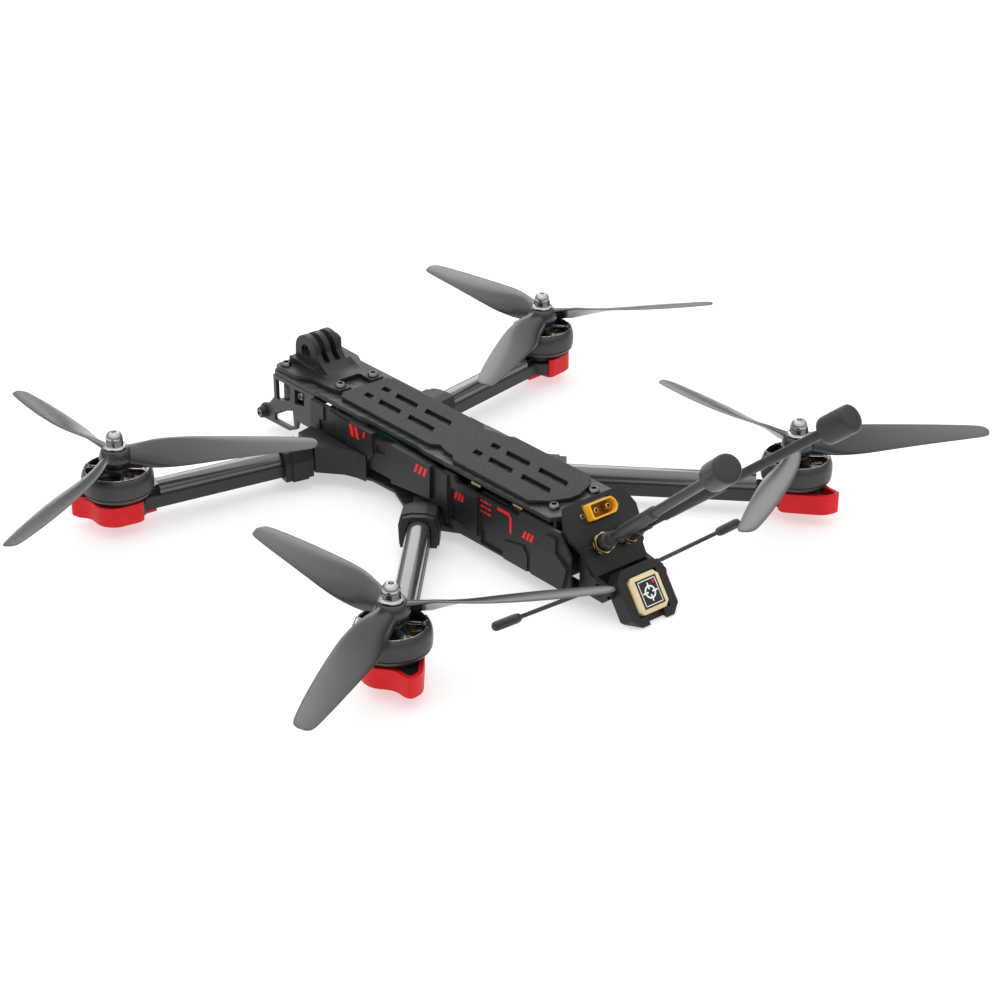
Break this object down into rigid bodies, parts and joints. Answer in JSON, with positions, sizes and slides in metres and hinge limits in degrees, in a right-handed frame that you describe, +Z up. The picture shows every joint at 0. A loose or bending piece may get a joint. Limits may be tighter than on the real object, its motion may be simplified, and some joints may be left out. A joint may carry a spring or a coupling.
{
  "type": "fpv racing drone",
  "caption": "Long-range FPV quadcopter with carbon arms, tri-blade propellers, nose camera, action camera mount and tilted tail antennas.",
  "frame": {"origin": "middle of the ground under the whole drone, at the height of its lowest point, the underside of the satellite receiver holder", "axes": "+Z up, nose towards -Y, +X is the left side of a drone seen from behind its nose, its own left"},
  "size_m": [0.4346, 0.4021, 0.1187],
  "materials": {
    "carbon_fibre": "satin carbon weave",
    "arm_cover_gloss": "glossy",
    "moulded_black": "fine moulded grain",
    "red_tpu": "matte flexible",
    "pad_rubber": "matte",
    "nose_plate_satin": "satin",
    "camera_black": "matte",
    "connector_amber": "glossy",
    "gold_plate": "polished",
    "antenna_black": "semi-gloss",
    "gps_ceramic": "unglazed ceramic",
    "circuit_board": "solder mask",
    "sender_alloy": "anodised",
    "capacitor_sleeve": "glossy sleeve",
    "stator_copper": "enamelled copper windings",
    "bell_gunmetal": "dark anodised",
    "prop_polycarbonate": "glossy",
    "nut_steel": "polished"
  },
  "bodies": {
    "airframe": {"bottom_plate": "carbon_fibre", "mid_plate": "carbon_fibre", "top_plate": "carbon_fibre", "arm_front_left": "carbon_fibre", "arm_front_right": "carbon_fibre", "arm_rear_left": "carbon_fibre", "arm_rear_right": "carbon_fibre", "arm_cover_front_left": "arm_cover_gloss", "arm_cover_front_right": "arm_cover_gloss", "arm_cover_rear_left": "arm_cover_gloss", "arm_cover_rear_right": "arm_cover_gloss", "arm_collar_front_left": "moulded_black", "arm_collar_front_right": "moulded_black", "arm_collar_rear_left": "moulded_black", "arm_collar_rear_right": "moulded_black", "side_guard_front_left": "moulded_black", "side_guard_front_right": "moulded_black", "side_guard_rear_left": "moulded_black", "side_guard_rear_right": "moulded_black", "arm_shroud_left": "moulded_black", "arm_shroud_right": "moulded_black", "action_camera_mount": "moulded_black", "tail_bracket": "moulded_black", "gps_holder": "moulded_black", "nose_bar": "moulded_black", "landing_pad_front_left": "red_tpu", "landing_pad_front_right": "red_tpu", "landing_pad_rear_left": "red_tpu", "landing_pad_rear_right": "red_tpu", "battery_pad": "pad_rubber", "camera_plate_left": "nose_plate_satin", "camera_plate_right": "nose_plate_satin", "power_connector": "connector_amber", "antenna_socket_left": "gold_plate", "antenna_socket_right": "gold_plate", "receiver_antenna_left": "antenna_black", "receiver_antenna_right": "antenna_black", "gps_module": "gps_ceramic", "flight_stack": "circuit_board", "video_transmitter": "sender_alloy", "capacitor": "capacitor_sleeve", "motor_base_front_left": "stator_copper", "motor_base_front_right": "stator_copper", "motor_base_rear_left": "stator_copper", "motor_base_rear_right": "stator_copper"},
    "rotor_front_left": {"motor_bell_front_left": "bell_gunmetal", "propeller_front_left": "prop_polycarbonate", "prop_nut_front_left": "nut_steel"},
    "rotor_front_right": {"motor_bell_front_right": "bell_gunmetal", "propeller_front_right": "prop_polycarbonate", "prop_nut_front_right": "nut_steel"},
    "rotor_rear_left": {"motor_bell_rear_left": "bell_gunmetal", "propeller_rear_left": "prop_polycarbonate", "prop_nut_rear_left": "nut_steel"},
    "rotor_rear_right": {"motor_bell_rear_right": "bell_gunmetal", "propeller_rear_right": "prop_polycarbonate", "prop_nut_rear_right": "nut_steel"},
    "camera": {"fpv_camera": "camera_black"},
    "antenna_left": {"video_antenna_left": "antenna_black"},
    "antenna_right": {"video_antenna_right": "antenna_black"}
  },
  "joints": [
    {"name": "spin_front_left", "type": "hinge", "parent": "airframe", "child": "rotor_front_left", "pos_m": [0.1335, -0.1063, 0.0362], "axis": [0, 0, 1], "continuous": true},
    {"name": "spin_front_right", "type": "hinge", "parent": "airframe", "child": "rotor_front_right", "pos_m": [-0.1335, -0.1063, 0.0362], "axis": [0, 0, 1], "continuous": true},
    {"name": "spin_rear_left", "type": "hinge", "parent": "airframe", "child": "rotor_rear_left", "pos_m": [0.1226, 0.0919, 0.0362], "axis": [0, 0, 1], "continuous": true},
    {"name": "spin_rear_right", "type": "hinge", "parent": "airframe", "child": "rotor_rear_right", "pos_m": [-0.1226, 0.0919, 0.0362], "axis": [0, 0, 1], "continuous": true},
    {"name": "camera_tilt", "type": "hinge", "parent": "airframe", "child": "camera", "pos_m": [0, -0.1282, 0.0256], "axis": [-1, 0, 0], "range_deg": [-15, 20]},
    {"name": "antenna_turn_left", "type": "hinge", "parent": "airframe", "child": "antenna_left", "pos_m": [0.0076, 0.0974, 0.0304], "axis": [0.2134, 0.7465, 0.6303], "range_deg": [-180, 180]},
    {"name": "antenna_turn_right", "type": "hinge", "parent": "airframe", "child": "antenna_right", "pos_m": [-0.0076, 0.0974, 0.0304], "axis": [-0.2134, 0.7465, 0.6303], "range_deg": [-180, 180]}
  ]
}
